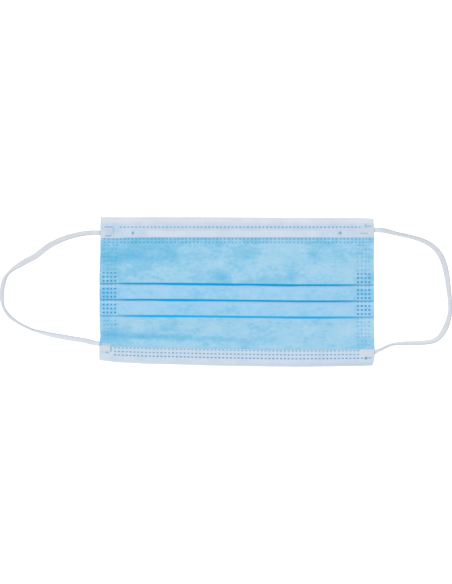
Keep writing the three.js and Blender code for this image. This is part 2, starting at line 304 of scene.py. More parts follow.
# Routes of the elastic, the same points as in the CAD part, in metres
LEFT_ROUTE = [
    (-0.0888, 0.0379), (-0.0928, 0.0379), (-0.0972, 0.0375), (-0.1015, 0.0368), (-0.1065, 0.0355),
    (-0.1115, 0.0338), (-0.1165, 0.0315), (-0.121, 0.029), (-0.1247, 0.0262), (-0.1292, 0.0227),
    (-0.1345, 0.0199), (-0.1396, 0.0169), (-0.1444, 0.0136), (-0.1478, 0.0096), (-0.1494, 0.005),
    (-0.1502, 0), (-0.1502, -0.0045), (-0.1494, -0.0089), (-0.1476, -0.0126), (-0.1448, -0.0159),
    (-0.1409, -0.0189), (-0.1359, -0.0217), (-0.1309, -0.024), (-0.1246, -0.0258), (-0.1183, -0.0274),
    (-0.1119, -0.0286), (-0.1055, -0.0297), (-0.0992, -0.0307), (-0.0941, -0.0318), (-0.0888, -0.033),
]
RIGHT_ROUTE = [
    (0.0888, 0.0397), (0.0928, 0.0395), (0.0974, 0.0385), (0.1019, 0.0373), (0.107, 0.0362),
    (0.1122, 0.0349), (0.1174, 0.0334), (0.1228, 0.0308), (0.1269, 0.0276), (0.1301, 0.0235),
    (0.1322, 0.0187), (0.1335, 0.014), (0.1345, 0.0082), (0.1352, 0.0024), (0.1359, -0.0033),
    (0.1363, -0.0084), (0.1361, -0.0134), (0.1351, -0.018), (0.1337, -0.0221), (0.1309, -0.0271),
    (0.1268, -0.0308), (0.1224, -0.032), (0.1172, -0.0325), (0.1108, -0.0326), (0.1044, -0.0328),
    (0.1, -0.0333), (0.0955, -0.0348), (0.0919, -0.0367), (0.0888, -0.0381),
]

# How far the elastic is turned on its edge: share of the free length, tilt in degrees
LEFT_TILTS = (
    (0, 15), (0.03, 34), (0.06, 40), (0.1, 34), (0.15, 25), (0.24, 6), (0.28, 16), (0.33, 4),
    (0.355, 20), (0.375, 42), (0.4, 57), (0.42, 64), (0.445, 49), (0.47, 39), (0.53, 46), (0.56, 70),
    (0.58, 68), (0.6, 58), (0.625, 64), (0.67, 80), (0.7, 73), (0.74, 71), (0.76, 61), (0.8, 47),
    (0.85, 36), (0.93, 40), (1, 33),
)
RIGHT_TILTS = (
    (0, 12), (0.04, 44), (0.1, 60), (0.17, 60), (0.22, 49), (0.28, 47), (0.31, 33), (0.33, 19),
    (0.35, 28), (0.4, 30), (0.44, 42), (0.47, 50), (0.51, 56), (0.56, 60), (0.6, 54), (0.625, 41),
    (0.65, 24), (0.67, 25), (0.69, 36), (0.72, 48), (0.76, 50), (0.8, 57), (0.85, 61), (0.875, 66),
    (0.9, 78), (0.96, 76), (1, 70),
)


# Helpers

def smooth(value):
    """A share from 0 to 1 that eases in and out."""
    t = np.clip(value, 0.0, 1.0)
    return t * t * (3 - 2 * t)


def column(rows, names, name, value):
    """A named column of a table, interpolated at value along its first column."""
    return np.interp(value, [row[0] for row in rows], [row[names.index(name)] for row in rows])


def link(piece):
    bpy.context.scene.collection.objects.link(piece)
    return piece


def grid_faces(rows, columns, flip=False):
    """Quads of a grid whose vertices run row by row."""
    r, c = np.meshgrid(np.arange(rows - 1), np.arange(columns - 1), indexing="ij")
    a = (r * columns + c).ravel()
    quads = np.stack([a, a + 1, a + columns + 1, a + columns], axis=1)
    return quads[:, ::-1] if flip else quads


def mesh_object(name, points, quads, attributes, material, caps=()):
    """A smooth shaded mesh from arrays of points and quads, with point attributes."""
    faces = quads.tolist() + [list(cap) for cap in caps]
    mesh = bpy.data.meshes.new(name)
    mesh.from_pydata(points.tolist(), [], faces)
    mesh.validate()
    mesh.update()
    for key, values in attributes.items():
        layer = mesh.attributes.new(key, "FLOAT", "POINT")
        layer.data.foreach_set("value", np.ascontiguousarray(values, np.float32))
    mesh.shade_smooth()
    mesh.materials.append(material)
    return link(bpy.data.objects.new(name, mesh))


def closed_sheet(name, front, back, attributes, material):
    """A thin closed sheet between two grids of points of the same shape."""
    rows, columns, _ = front.shape
    count = rows * columns
    points = np.concatenate([front.reshape(-1, 3), back.reshape(-1, 3)]) * MM
    ids = np.arange(count).reshape(rows, columns)
    border = np.concatenate([ids[0, :], ids[1:, -1], ids[-1, -2::-1], ids[-2:0:-1, 0]])
    after = np.roll(border, -1)
    walls = np.stack([border, after, after + count, border + count], axis=1)
    behind = grid_faces(rows, columns, True) + count
    quads = np.concatenate([grid_faces(rows, columns), behind, walls[:, ::-1]])
    doubled = {
        key: np.tile(np.broadcast_to(values, (rows, columns)).ravel(), 2)
        for key, values in attributes.items()
    }
    return mesh_object(name, points, quads, doubled, material)


# Where the straight cloth lies in the real mask. The CAD part's edges differ from these by up to 0.7 mm.

def drift_y(x, y):
    across = x / HALF_WIDTH
    top, pleats, bottom = (column(EDGE_ROWS, EDGE_COLUMNS, name, across) for name in EDGE_COLUMNS[1:])
    hem_seam = HALF_HEIGHT - TOP_HEM_HEIGHT - SEAM_MARGIN
    lower_start = LAST_FOLD - PLEAT_DEPTH
    top_share = np.clip((y - HALF_HEIGHT + TOP_SEAM_INSET) / TOP_SEAM_INSET, 0, 1)
    pleat_share = np.clip((hem_seam - y) / (hem_seam - FIRST_FOLD), 0, 1)
    lower = np.clip((lower_start - y) / (HALF_HEIGHT + lower_start), 0, 1)
    upper_drift = -TOP_DROP * (top * top_share + pleats * pleat_share)
    return upper_drift + (BOTTOM_RISE * bottom - upper_drift) * lower


def drift_x(x, y):
    up = y / HALF_HEIGHT
    left, right = (column(SIDE_EDGE_ROWS, SIDE_EDGE_COLUMNS, name, up) for name in ("left", "right"))
    share = np.clip(1 - (HALF_WIDTH - np.abs(x)) / SIDE_INSET_REACH, 0, 1)
    return np.where(x < 0, SIDE_INSET * left * share, -SIDE_INSET * right * share)


def loop_end_middle(side, up, degrees):
    turn = math.radians(degrees)
    half = side * ELASTIC_END_LENGTH / 2
    x = side * (HALF_WIDTH + LOOP_END_OVERHANG) - half * math.cos(turn)
    return x, up * HALF_HEIGHT - half * math.sin(turn), turn


def corner_lift(x, y):
    """How far the cloth is lifted over the welded ends of the elastic."""
    lift = np.zeros_like(x)
    for side, up, degrees in LOOP_ENDS.values():
        _, end_y, turn = loop_end_middle(side, up, degrees)
        half_span = (ELASTIC_END_WIDTH + ELASTIC_END_LENGTH * abs(math.sin(turn))) / 2
        past_x = HALF_WIDTH - ELASTIC_END_LENGTH - CORNER_MARGIN - x * side
        past_y = np.abs(y - end_y) - half_span - CORNER_MARGIN
        share = (1 - smooth(past_x / CORNER_FADE)) * (1 - smooth(past_y / CORNER_FADE))
        lift = np.maximum(lift, CORNER_LIFT * share)
    return lift


def wrinkle_lift(x, y):
    """How far the cloth is lifted along the low wrinkle."""
    from_left = x + HALF_WIDTH
    middle = WRINKLE_INSET - HALF_HEIGHT - WRINKLE_SLOPE * from_left
    share = (1 - smooth(from_left / WRINKLE_REACH)) * (1 - smooth(np.abs(y - middle) / WRINKLE_SPREAD))
    return WRINKLE_RISE * share


def waves(x, y):
    """Slow unevenness of the lying cloth, never below zero."""
    a = np.sin(x / 17.0 + 0.6) * np.sin(y / 13.0 + 1.1)
    b = np.sin(x / 9.5 - y / 21.0 + 2.3)
    c = np.sin(x / 27.0 + y / 8.0 + 4.0)
    return 0.16 + 0.08 * a + 0.04 * b + 0.04 * c


def drape(x, y, z):
    """Points in millimetres of the real mask for arrays of flat, straight places."""
    placed_x = x + drift_x(x, y)
    placed_y = y + drift_y(x, y)
    across = np.abs(x) / HALF_WIDTH
    loft = 1 + MIDDLE_LOFT * (1 - across ** 4)
    pressed = 1 - SIDE_PRESS * smooth((np.abs(x) - SIDE_PRESS_FROM) / SIDE_PRESS_EASE)
    placed_z = z * loft * pressed + corner_lift(placed_x, placed_y) + waves(placed_x, placed_y)
    return np.stack([placed_x, placed_y, placed_z], axis=-1)


# The folded path of the laminate in a section along Y and Z

def fold_arc(y, z, radius, side):
    angles = np.linspace(0, math.pi, 13)
    return [(y + side * radius * math.sin(a), z + radius * math.cos(a)) for a in angles]


def laminate_corners():
    layer = LAMINATE + PLEAT_GAP
    low = LAMINATE / 2
    slope_rise = 2 * layer * EVEN_SLOPE_SHARE * PLEAT_DEPTH / PLEAT_PITCH
    radius = layer / 2
    inset = radius + LAMINATE / 2
    end = HALF_HEIGHT - HEM_BACK_LEG - CLEARANCE
    rise_start = HALF_HEIGHT - TOP_HEM_HEIGHT - SEAM_MARGIN
    rise_end = FIRST_FOLD + PLEAT_DEPTH - PLEAT_TIP

    def height(fold, y, layers):
        return low + layers * layer + slope_rise * (1 - (y - fold) / PLEAT_DEPTH)

    points = [(end, low)]
    for share in np.linspace(0, 1, 12)[:-1]:
        y = rise_start + (rise_end - rise_start) * share
        points.append((y, low + (height(FIRST_FOLD, rise_end, 2) - low) * float(smooth(share))))
    for k in range(PLEAT_COUNT):
        fold = FIRST_FOLD - k * PLEAT_PITCH
        outer_y = fold + inset
        inner_y = fold + PLEAT_DEPTH - inset
        points.append((fold + PLEAT_DEPTH - PLEAT_TIP, height(fold, fold + PLEAT_DEPTH - PLEAT_TIP, 2)))
        points += fold_arc(outer_y, height(fold, outer_y, 1.5), radius, -1)
        points += fold_arc(inner_y, height(fold, inner_y, 0.5), radius, 1)
        points.append((fold + PLEAT_TIP, height(fold, fold + PLEAT_TIP, 0)))
    points.append((LAST_FOLD - PLEAT_DEPTH / 2, low + slope_rise / 2))
    points.append((LAST_FOLD - PLEAT_DEPTH, low))
    points.append((-end, low))
    return np.array(points)


def dense_path(corners, step=0.05, soften=0.3):
    """Points every step along the path, its corners rounded a little."""
    lengths = np.concatenate([[0], np.cumsum(np.hypot(*np.diff(corners, axis=0).T))])
    s = np.arange(0, lengths[-1], step)
    path = np.stack([np.interp(s, lengths, corners[:, i]) for i in (0, 1)], axis=1)
    half = int(3 * soften / step)
    kernel = np.exp(-0.5 * (np.arange(-half, half + 1) * step / soften) ** 2)
    kernel /= kernel.sum()
    padded = np.concatenate([np.repeat(path[:1], half, axis=0), path, np.repeat(path[-1:], half, axis=0)])
    return np.stack([np.convolve(padded[:, i], kernel, "valid") for i in (0, 1)], axis=1)


def dot_rows():
    """Rows of weld dots on the blue front, from the nose to the chin."""
    rows = DOT_PHASE_Y - DOT_PITCH_Y * np.arange(-9, 17)
    return np.sort(np.concatenate([rows, TOP_SEAM_ROWS]))[::-1]


def row_lines(rows):
    """Places along Y on the middle of every dot row and just past its dots."""
    places = {round(float(y + d), 4) for y in rows for d in (DOT_CLEAR_Y, 0, -DOT_CLEAR_Y)}
    return sorted(places, reverse=True)


def panel_rows(shown):
    """The dense path of the laminate, the rows picked on it, and the leg of the fold each is on.

    Legs with an odd number are inside a pleat. shown holds places along Y for the other ones."""
    path = dense_path(laminate_corners())
    turning = np.where(np.diff(np.sign(np.diff(path[:, 0]))) != 0)[0] + 1
    turns = [0] + [int(t) for t in turning if 0 < t < len(path) - 1] + [len(path) - 1]
    hidden_step = 1.6
    under_pleat_step = 1.8
    under_top_hem_step = 1.7
    under_bottom_hem_step = 1.5
    near_turn = 16
    turn_rows = 9
    fewest_between = 3
    picked = []
    for leg, (a, b) in enumerate(zip(turns, turns[1:])):
        ys = path[a:b + 1, 0]
        if leg % 2:
            wanted = list(np.arange(ys[0] + 1.2, ys[-1] - 1.0, hidden_step))
        else:
            fold_above = FIRST_FOLD - (leg // 2 - 1) * PLEAT_PITCH if leg else HALF_HEIGHT
            wanted = [y for y in shown if ys[-1] + 0.5 < y < min(ys[0] - 0.4, fold_above + 0.2)]
            wanted += list(np.arange(fold_above + 0.6, ys[0] - 0.4, under_pleat_step)) if leg else [ys[0]]
            near_fold = (0.2, -0.25, -CREASE_REACH, -CREASE_REACH - 0.3, -CREASE_REACH - 0.6)
            wanted += [fold_above + step for step in near_fold] if leg else []
        if leg == 0:
            wanted += list(np.arange(35.6, ys[0] - 0.2, under_top_hem_step))
        if b == len(path) - 1:
            wanted += list(np.arange(-34.6, -44.0, -under_bottom_hem_step)) + [ys[-1]]
        picked += [a + int(np.argmin(np.abs(ys - y))) for y in wanted]
        if b < len(path) - 1:
            picked += [b + int(i) for i in np.linspace(-near_turn, near_turn, turn_rows)]
    picked = sorted(set(picked))
    kept = [picked[0]]
    for p in picked[1:]:
        if p - kept[-1] >= fewest_between:
            kept.append(p)
    kept[-1] = len(path) - 1
    legs = np.searchsorted(turns[1:-1], kept, side="right")
    return path, np.array(kept), legs


def shifted(u, y):
    """Places along X of the columns, moved along with the top rows of dots."""
    share = smooth((y - TOP_SHIFT_Y) / 5.0) * smooth((HALF_WIDTH - np.abs(u) - 2.0) / 8.0)
    return u + TOP_ROW_SHIFT * share


def normals_of(path):
    tangent = np.gradient(path, axis=0)
    tangent /= np.linalg.norm(tangent, axis=1, keepdims=True)
    return np.stack([tangent[:, 1], -tangent[:, 0]], axis=1)


def mask_columns():
    """Places along X on and midway between the dot columns, closer near the sides and the spots."""
    columns = [-88.0, -87.4, -86.7, 86.7, 87.4, 88.0]
    for k in range(DOT_COLUMNS):
        x = DOT_FIRST_X + k * DOT_PITCH_X
        near_side = min(k, DOT_COLUMNS - 1 - k) < SIDE_COLUMNS + 1
        parts = 4 if near_side else 1
        columns += [x + DOT_PITCH_X / 2 * i / parts for i in range(1 - parts, parts + 1)]
    for spot_x, *_ in HEM_SPOTS:
        columns += [spot_x - TOP_ROW_SHIFT + step for step in (-1.05, -0.6, -0.25, 0.25, 0.6, 1.05)]
    return np.array(sorted({round(float(x), 3) for x in columns}))


# Weld dots, tool marks and colour zones

def dots(x, y, rows):
    """Column and row of the nearest dot, and how far its middle is along X and Y."""
    k = np.clip(np.round((x - DOT_FIRST_X) / DOT_PITCH_X), 0, DOT_COLUMNS - 1)
    rows = np.asarray(rows, float)
    near = np.argmin(np.abs(y[..., None] - rows), axis=-1)
    away = {"away_x": np.abs(x - (DOT_FIRST_X + k * DOT_PITCH_X)), "away_y": np.abs(y - rows[near])}
    return k, rows[near], away


def marked(x, y, rows, round_spots=False, ease=0.25):
    """Strongest mark of a table at each place."""
    found = np.zeros_like(x)
    for mark_x, mark_y, half_x, half_y, strength in rows:
        if round_spots:
            reach = np.hypot((x - mark_x) / half_x, (y - mark_y) / half_y)
            share = smooth((1.25 - reach) / 0.5)
        else:
            inside_x = (half_x - np.abs(x - mark_x)) / ease + 0.5
            inside_y = (half_y - np.abs(y - mark_y)) / ease + 0.5
            share = smooth(inside_x) * smooth(inside_y)
        found = np.maximum(found, strength * share)
    return found


def panel_weld(x, y):
    """Strength of the weld dots on the blue front, and how far the nearest is. x is unshifted."""
    k, row, away = dots(x, y, dot_rows())
    edge_column = np.minimum(k, DOT_COLUMNS - 1 - k) < SIDE_COLUMNS
    strong = smooth((STRONG_FROM - row) / 3) * smooth((row - STRONG_TO) / 2)
    faint = FAINT_DOTS + 0.1 * np.sin(row * 1.7 + k * 2.1)
    faint = faint * np.where((x < 0) & (row < -25), 0.4, 1)
    strip = np.where(edge_column, np.maximum(strong, faint), 0)
    under_fold = np.zeros_like(x)
    for i in range(PLEAT_COUNT):
        fold = FIRST_FOLD - i * PLEAT_PITCH
        under_fold = np.maximum(under_fold, (row < fold + 0.2) & (row > fold - 2.0))
    strip = strip * (1 - 0.55 * under_fold)
    uneven = 0.92 + 0.08 * np.sin(k * 1.9 + row * 0.8)
    seam = np.min(np.abs(row[..., None] - np.asarray(TOP_SEAM_ROWS)), axis=-1) < 0.01
    return uneven * np.where(seam, 0.55, strip), away


def hem_weld(x, y):
    """Strength of the weld dots on the white hems, and how far the nearest is. x is unshifted."""
    k, row, away = dots(x, y, (TOP_HEM_ROW, TOP_SEAM_ROWS[0]) + BOTTOM_HEM_ROWS)
    px = DOT_FIRST_X + k * DOT_PITCH_X
    across = (px > HEM_DOTS_FROM) & (px < HEM_DOTS_TO)
    top = np.where(across & (px > TOP_ROW_FROM), 0.75 + 0.15 * smooth((px + 60) / 90.0), 0)
    top = np.where(row == TOP_SEAM_ROWS[0], 0.4, top)
    by_row = np.interp(-row, np.negative(BOTTOM_HEM_ROWS), BOTTOM_ROW_STRENGTHS)
    bottom = np.where(across, by_row, 0)
    last = (row == BOTTOM_HEM_ROWS[-1]) & (px < LAST_ROW_TO) & (px > HEM_DOTS_FROM)
    bottom = np.where(last, 1, bottom)
    uneven = 0.92 + 0.08 * np.sin(k * 2.3 + row)
    return uneven * np.where(row > 0, top, bottom), away


def blue_tone_and_wrinkle_shade(x, y):
    """Deeper and paler zones of the blue cloth, from -1 to 1.2, with painted shade along the wrinkle."""
    tone_and_wrinkle_shade = np.zeros_like(x)
    for patch_x, patch_y, reach_x, reach_y, strength in PATCH_ROWS:
        away = ((x - patch_x) / reach_x) ** 2 + ((y - patch_y) / reach_y) ** 2
        tone_and_wrinkle_shade += strength * np.exp(-1.6 * away)
    # Painted shade along the low wrinkle
    from_left = x + HALF_WIDTH
    half_height = 1.8
    line = -26.0 - 2.4 * smooth(from_left / 22.0) - 1.6 * smooth((from_left - 30) / 50.0)
    fade = (1 - smooth((from_left - 25) / 95.0)) * (0.7 + 0.3 * smooth(from_left / 16.0))
    tone_and_wrinkle_shade += 0.85 * fade * np.exp(-((y - line) / half_height) ** 2)
    return np.clip(tone_and_wrinkle_shade, -1, 1.2)


def below_fold(x, y):
    """Zones just below the open edge of each pleat, where the cloth catches more light."""
    share = np.zeros_like(x)
    for k, strength in enumerate(CATCH_STRENGTHS):
        under = FIRST_FOLD - k * PLEAT_PITCH - y
        lit = smooth((under - 0.6) / 0.5) * (1 - smooth((under - 1.2) / 2.8))
        share = np.maximum(share, strength * lit)
    return share


# Materials

def new_material(name):
    material = bpy.data.materials.new(name)
    material.use_nodes = True
    tree = material.node_tree
    tree.nodes.clear()
    output = tree.nodes.new("ShaderNodeOutputMaterial")
    shader = tree.nodes.new("ShaderNodeBsdfPrincipled")
    tree.links.new(shader.outputs["BSDF"], output.inputs["Surface"])
    return material, tree, shader


def shown(r, g, b):
    """Base colour of a surface that shows as these display values of 0 to 255 in the studio light."""
    def one(v):
        v = v / 255
        bright = v / 12.92 if v <= 0.04045 else ((v + 0.055) / 1.055) ** 2.4
        return bright / LIGHT_LEVEL
    return (one(r), one(g), one(b), 1.0)


def connect(tree, socket, value):
    if isinstance(value, bpy.types.NodeSocket):
        tree.links.new(value, socket)
    else:
        socket.default_value = value


def mix_colour(tree, factor, a, b):
    mix = tree.nodes.new("ShaderNodeMix")
    mix.data_type = "RGBA"
    for socket, value in ((mix.inputs[0], factor), (mix.inputs[6], a), (mix.inputs[7], b)):
        connect(tree, socket, value)
    return mix.outputs[2]


def layered(tree, colour, *layers):
    """The colour with each layer's tone mixed over it, by a factor or the name of an attribute."""
    for factor, tone in layers:
        factor = attribute(tree, factor) if isinstance(factor, str) else factor
        colour = mix_colour(tree, factor, colour, tone)
    return colour


def set_inputs(node, values):
    for name, value in values.items():
        node.inputs[name].default_value = value


def maths(tree, operation, a, b=0.0):
    made = tree.nodes.new("ShaderNodeMath")
    made.operation = operation
    connect(tree, made.inputs[0], a)
    connect(tree, made.inputs[1], b)
    return made.outputs[0]


def times(tree, a, b):
    return maths(tree, "MULTIPLY", a, b)


def remap(tree, value, low, high, out_low=0, out_high=1):
    made = tree.nodes.new("ShaderNodeMapRange")
    made.clamp = True
    set_inputs(made, {"From Min": low, "From Max": high, "To Min": out_low, "To Max": out_high})
    tree.links.new(value, made.inputs["Value"])
    return made.outputs["Result"]


def attribute(tree, name):
    made = tree.nodes.new("ShaderNodeAttribute")
    made.attribute_name = name
    return made.outputs["Fac"]


def coordinates(tree):
    return tree.nodes.new("ShaderNodeTexCoord").outputs["Object"]


def noise(tree, vector, scale, detail=2, roughness=0.5):
    made = tree.nodes.new("ShaderNodeTexNoise")
    set_inputs(made, {"Scale": scale, "Detail": detail, "Roughness": roughness})
    tree.links.new(vector, made.inputs["Vector"])
    return made.outputs["Fac"]


def stretched(tree, vector, x, y, z, turn=0):
    made = tree.nodes.new("ShaderNodeMapping")
    set_inputs(made, {"Scale": (x, y, z), "Rotation": (0, 0, turn)})
    tree.links.new(vector, made.inputs["Vector"])
    return made.outputs["Vector"]


def add_bump(tree, shader, height, strength, distance):
    bump = tree.nodes.new("ShaderNodeBump")
    set_inputs(bump, {"Strength": strength, "Distance": distance})
    tree.links.new(height, bump.inputs["Height"])
    tree.links.new(bump.outputs["Normal"], shader.inputs["Normal"])


def wave_pair(tree, a, b, pitch):
    """Product of two sine waves along two directions."""
    turns = 2 * math.pi / pitch
    return times(tree, *(maths(tree, "SINE", times(tree, value, turns)) for value in (a, b)))


def diamonds(tree, vector, pitch):
    """Small diamonds that the teeth of the welding tool press into the corners, from 0 to 1."""
    split = tree.nodes.new("ShaderNodeSeparateXYZ")
    tree.links.new(vector, split.inputs[0])
    rising = maths(tree, "ADD", split.outputs[0], split.outputs[1])
    falling = maths(tree, "SUBTRACT", split.outputs[0], split.outputs[1])
    return remap(tree, wave_pair(tree, rising, falling, pitch), -0.5, 0.5)


def nonwoven(tree, shader, vector, strength, welded):
    """Bump of the spun cloth: bonded points, fibres, pressed dots and diamonds. Returns the fibres."""
    split = tree.nodes.new("ShaderNodeSeparateXYZ")
    tree.links.new(vector, split.inputs[0])
    bonded = wave_pair(tree, split.outputs[0], split.outputs[1], 0.0012)
    points = remap(tree, bonded, 0.35, 0.9, 1, 0)
    fibres = noise(tree, stretched(tree, vector, 1, 0.35, 1, 0.5), 3400, 3, 0.6)
    crossed = noise(tree, stretched(tree, vector, 0.35, 1, 1, -0.4), 3100, 3, 0.6)
    both = maths(tree, "ADD", times(tree, fibres, 0.5), times(tree, crossed, 0.5))
    pressed = maths(tree, "ADD", attribute(tree, "pale_imprint"), attribute(tree, "knurled"))
    teeth = times(tree, pressed, diamonds(tree, vector, KNURL_PITCH))
    height = maths(tree, "ADD", times(tree, points, 0.55), both)
    height = maths(tree, "ADD", height, times(tree, teeth, 1.5))
    height = maths(tree, "SUBTRACT", height, times(tree, welded, PRESSED_DEPTH))
    add_bump(tree, shader, height, strength, BUMP_DISTANCE)
    return both


def weld_squares(tree, half_y):
    """How much of the cloth's colour the small squares of the weld dots take over."""
    squares = attribute(tree, "weld")
    for name, half in (("away_x", SQUARE_HALF_X), ("away_y", half_y)):
        inside = remap(tree, attribute(tree, name), half - SQUARE_SOFT, half + SQUARE_SOFT, 1, 0)
        squares = times(tree, squares, inside)
    return squares


def add_imprints(tree, vector, colour):
    """Pale and blue diamonds in the corners where the tool has pressed the cloth."""
    teeth = diamonds(tree, vector, KNURL_PITCH)
    pale = times(tree, attribute(tree, "pale_imprint"), remap(tree, teeth, 0, 1, 0.35, 0.9))
    blue = times(tree, attribute(tree, "knurled"), remap(tree, teeth, 0, 1, 0.5, 0))
    return layered(tree, colour, (pale, shown(217, 221, 228)), (blue, shown(128, 190, 222)))


def cloth_surface(tree, shader, welded):
    """Roughness and sheen of the spun cloth, smoother where it is welded."""
    rough = remap(tree, welded, 0, 1, 0.88, 0.5)
    tree.links.new(rough, shader.inputs["Roughness"])
    set_inputs(shader, {"Sheen Weight": 0.1, "Sheen Roughness": 0.5, "Specular IOR Level": 0.3})


def outer_cloth():
    material, tree, shader = new_material("blue_nonwoven")
    vector = coordinates(tree)
    welded = weld_squares(tree, SQUARE_HALF_Y)
    both = nonwoven(tree, shader, vector, 0.5, welded)
    cloud = noise(tree, stretched(tree, vector, 0.55, 1, 1), 150, 4, 0.6)
    blotch = noise(tree, stretched(tree, vector, 0.6, 1, 1), 520, 3, 0.6)
    uneven = maths(tree, "ADD", times(tree, cloud, 0.3), times(tree, blotch, 0.24))
    # Deeper and paler blue at random, and painted shade along the wrinkle
    tone = maths(tree, "SUBTRACT", uneven, times(tree, attribute(tree, "tone_and_wrinkle_shade"), 0.16))
    colour = mix_colour(tree, remap(tree, tone, 0.03, 0.27), shown(54, 174, 222), shown(140, 203, 234))
    grain = remap(tree, noise(tree, vector, 1100, 3, 0.7), 0.35, 0.7, 0, 0.22)
    colour = layered(
        tree,
        colour,
        (remap(tree, tone, 0.23, 0.4), shown(180, 217, 240)),
        (grain, shown(178, 220, 243)),
        (remap(tree, both, 0.35, 0.65, 0, 0.1), shown(200, 228, 243)),
        ("pleated", shown(150, 208, 255)),
        ("catch", shown(196, 236, 254)),
        # Painted shade: deep blue along each pleat's open edge and on the cloth below it
        ("crease_shade", shown(0, 196, 250)),
    )
    colour = add_imprints(tree, vector, colour)
    colour = mix_colour(tree, welded, colour, shown(0, 146, 204))
    tree.links.new(colour, shader.inputs["Base Color"])
    cloth_surface(tree, shader, welded)
    return material


def inner_cloth():
    material, tree, shader = new_material("white_nonwoven")
    vector = coordinates(tree)
    welded = weld_squares(tree, HEM_SQUARE_HALF_Y)
    marked_too = maths(tree, "MAXIMUM", welded, attribute(tree, "mark"))
    both = nonwoven(tree, shader, vector, 0.45, marked_too)
    cloud = remap(tree, noise(tree, vector, 120, 4, 0.6), 0.35, 0.65)
    white = mix_colour(tree, cloud, shown(211, 220, 231), shown(219, 227, 236))
    tinted = mix_colour(tree, cloud, shown(190, 211, 232), shown(203, 219, 237))
    grain = remap(tree, noise(tree, vector, 900, 3, 0.7), 0.35, 0.7, 0, 0.2)
    colour = layered(
        tree,
        white,
        ("under", tinted),
        ("tint", shown(178, 213, 240)),
        ("shade", shown(178, 194, 218)),
        (grain, shown(226, 233, 242)),
        (remap(tree, both, 0.35, 0.65, 0, 0.12), shown(232, 238, 245)),
    )
    colour = layered(
        tree,
        add_imprints(tree, vector, colour),
        # Painted light on the hem's steep slope below the nose wire, against its shade
        ("painted_slope_light", PAINTED_LIGHT_WHITE),
        ("mark", shown(72, 162, 200)),
        (welded, shown(80, 152, 192)),
    )
    tree.links.new(colour, shader.inputs["Base Color"])
    cloth_surface(tree, shader, welded)
    return material


def elastic_cloth():
    material, tree, shader = new_material("knitted_elastic")
    vector = coordinates(tree)
    cloud = remap(tree, noise(tree, vector, 260, 3, 0.6), 0.35, 0.65)
    colour = mix_colour(tree, cloud, shown(218, 222, 228), shown(227, 231, 236))
    colour = layered(
        tree,
        colour,
        # Paler past a share of the free length, and painted light near the cloth, against the shade of its
        # edge
        ("bright", shown(236, 240, 248)),
        # Painted shade in the knit's valleys, between stitches and at the band's sides
        ("valley_shade", shown(192, 198, 208)),
        # Pressed end made near white, painted light against the shade under the cloth's edge
        ("weld", shown(246, 249, 253)),
        # Painted light right beside the cloth, against the shade of its edge
        ("painted_light_by_cloth", PAINTED_LIGHT_WHITE),
    )
    tree.links.new(colour, shader.inputs["Base Color"])
    add_bump(tree, shader, noise(tree, vector, 5200, 3, 0.65), 0.4, 0.0001)
    tree.links.new(remap(tree, cloud, 0, 1, 0.82, 0.94), shader.inputs["Roughness"])
    set_inputs(shader, {"Sheen Weight": 0.2, "Sheen Roughness": 0.4})
    return material


def wire_plastic():
    material, tree, shader = new_material("wire_plastic")
    lines = noise(tree, stretched(tree, coordinates(tree), 0.05, 1, 1), 3000, 2, 0.5)
    colour = mix_colour(tree, remap(tree, lines, 0.3, 0.7), shown(232, 236, 240), shown(242, 245, 248))
    tree.links.new(colour, shader.inputs["Base Color"])
    add_bump(tree, shader, lines, 0.3, 0.0001)
    shader.inputs["Roughness"].default_value = 0.45
    return material


# Camera, light and floor

def make_camera():
    data = bpy.data.cameras.new("camera")
    data.sensor_fit = "HORIZONTAL"
    data.sensor_width = SENSOR_WIDTH
    data.lens = SENSOR_WIDTH * CAMERA_HEIGHT / VIEW_WIDTH
    data.clip_start = 0.01
    camera = link(bpy.data.objects.new("camera", data))
    camera.location = (*VIEW_CENTRE, CAMERA_HEIGHT)
    bpy.context.scene.camera = camera


def make_stage():
    half = 2.0
    corners = [(-half, -half, 0), (half, -half, 0), (half, half, 0), (-half, half, 0)]
    mesh = bpy.data.meshes.new("floor")
    mesh.from_pydata(corners, [], [(0, 1, 2, 3)])
    floor = link(bpy.data.objects.new("floor", mesh))
    material, tree, shader = new_material("pale_floor")
    tone = remap(tree, noise(tree, coordinates(tree), 6), 0.3, 0.7)
    colour = mix_colour(tree, tone, (0.93, 0.93, 0.935, 1), (0.95, 0.95, 0.95, 1))
    tree.links.new(colour, shader.inputs["Base Color"])
    set_inputs(shader, {"Roughness": 0.9, "Specular IOR Level": 0.1})
    set_inputs(shader, {"Emission Color": (1, 1, 1, 1), "Emission Strength": FLOOR_GLOW})
    mesh.materials.append(material)


def area_light(name, place, size, power):
    """A round light that faces the middle of the mask."""
    data = bpy.data.lights.new(name, "AREA")
    data.shape = "DISK"
    data.size = size
    data.energy = power
    light = link(bpy.data.objects.new(name, data))
    light.location = place
    x, y, z = place
    light.rotation_euler = (math.atan2(math.hypot(x, y), z), 0, math.atan2(x, -y))


def make_light():
    world = bpy.data.worlds.new("studio")
    bpy.context.scene.world = world
    world.use_nodes = True
    background = world.node_tree.nodes["Background"]
    set_inputs(background, {"Color": (1, 1, 1, 1), "Strength": WORLD_LEVEL})
    area_light("key_light", (-0.15, 0.1, 1.35), 0.9, 6.0)
    bpy.context.scene.view_settings.view_transform = "Standard"


# Ear loops

